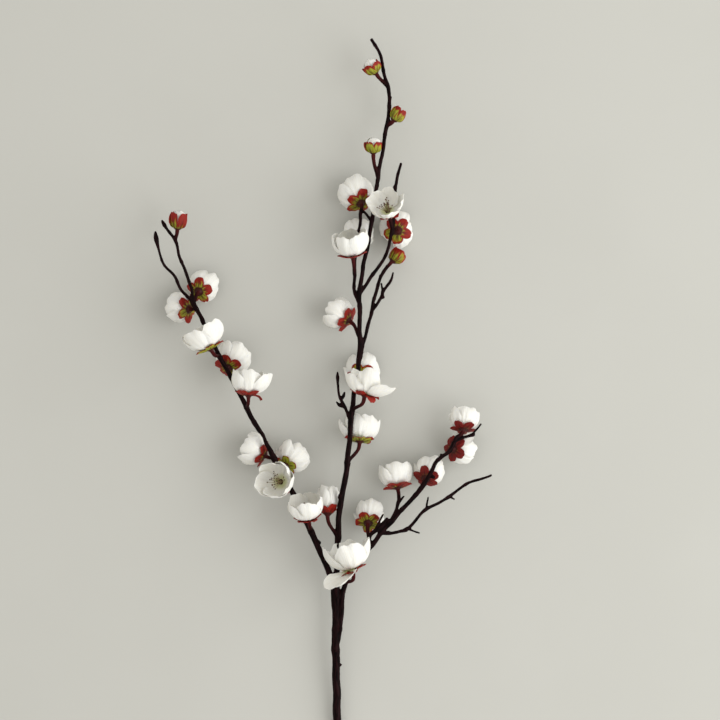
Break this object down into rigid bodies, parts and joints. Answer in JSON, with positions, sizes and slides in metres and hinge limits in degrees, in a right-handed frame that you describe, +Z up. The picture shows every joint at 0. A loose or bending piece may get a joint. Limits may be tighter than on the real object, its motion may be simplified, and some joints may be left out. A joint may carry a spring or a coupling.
{
  "type": "cherry blossom sprig",
  "caption": "Cut flowering branch lying on a surface: a slim dark forked stem with white cup-shaped blossoms, red and green sepals and a few buds.",
  "frame": {"origin": "on the surface that the sprig lies on, below the middle of its box", "axes": "+Y along the stem, from its cut end to its tip; +Z up; +X to the right as seen from above with the tip away"},
  "size_m": [0.2369, 0.5152, 0.0598],
  "materials": {
    "bark": "satin",
    "sepal": "matte",
    "petal": "matte"
  },
  "bodies": {
    "root": {"branch": "bark", "centre_blossom_10_calyx": "sepal", "centre_blossom_10_corolla": "petal", "centre_blossom_11_calyx": "sepal", "centre_blossom_11_corolla": "petal", "centre_blossom_1_calyx": "sepal", "centre_blossom_1_corolla": "petal", "centre_blossom_2_calyx": "sepal", "centre_blossom_2_corolla": "petal", "centre_blossom_3_calyx": "sepal", "centre_blossom_3_corolla": "petal", "centre_blossom_4_calyx": "sepal", "centre_blossom_4_corolla": "petal", "centre_blossom_5_calyx": "sepal", "centre_blossom_5_corolla": "petal", "centre_blossom_6_calyx": "sepal", "centre_blossom_6_corolla": "petal", "centre_blossom_7_calyx": "sepal", "centre_blossom_7_corolla": "petal", "centre_blossom_8_calyx": "sepal", "centre_blossom_8_corolla": "petal", "centre_blossom_9_calyx": "sepal", "centre_blossom_9_corolla": "petal", "centre_side_bud_calyx": "sepal", "centre_top_bud_calyx": "sepal", "centre_top_bud_petals": "petal", "centre_upper_bud_1_calyx": "sepal", "centre_upper_bud_1_petals": "petal", "centre_upper_bud_2_calyx": "sepal", "left_blossom_1_calyx": "sepal", "left_blossom_1_corolla": "petal", "left_blossom_2_calyx": "sepal", "left_blossom_2_corolla": "petal", "left_blossom_3_calyx": "sepal", "left_blossom_3_corolla": "petal", "left_blossom_4_calyx": "sepal", "left_blossom_4_corolla": "petal", "left_blossom_5_calyx": "sepal", "left_blossom_5_corolla": "petal", "left_blossom_6_calyx": "sepal", "left_blossom_6_corolla": "petal", "left_blossom_7_calyx": "sepal", "left_blossom_7_corolla": "petal", "left_blossom_8_calyx": "sepal", "left_blossom_8_corolla": "petal", "left_blossom_9_calyx": "sepal", "left_blossom_9_corolla": "petal", "left_tip_bud_calyx": "sepal", "left_tip_bud_petals": "petal", "right_blossom_1_calyx": "sepal", "right_blossom_1_corolla": "petal", "right_blossom_2_calyx": "sepal", "right_blossom_2_corolla": "petal", "right_blossom_3_calyx": "sepal", "right_blossom_3_corolla": "petal", "right_blossom_4_calyx": "sepal", "right_blossom_4_corolla": "petal", "right_blossom_5_calyx": "sepal", "right_blossom_5_corolla": "petal"}
  },
  "joints": []
}
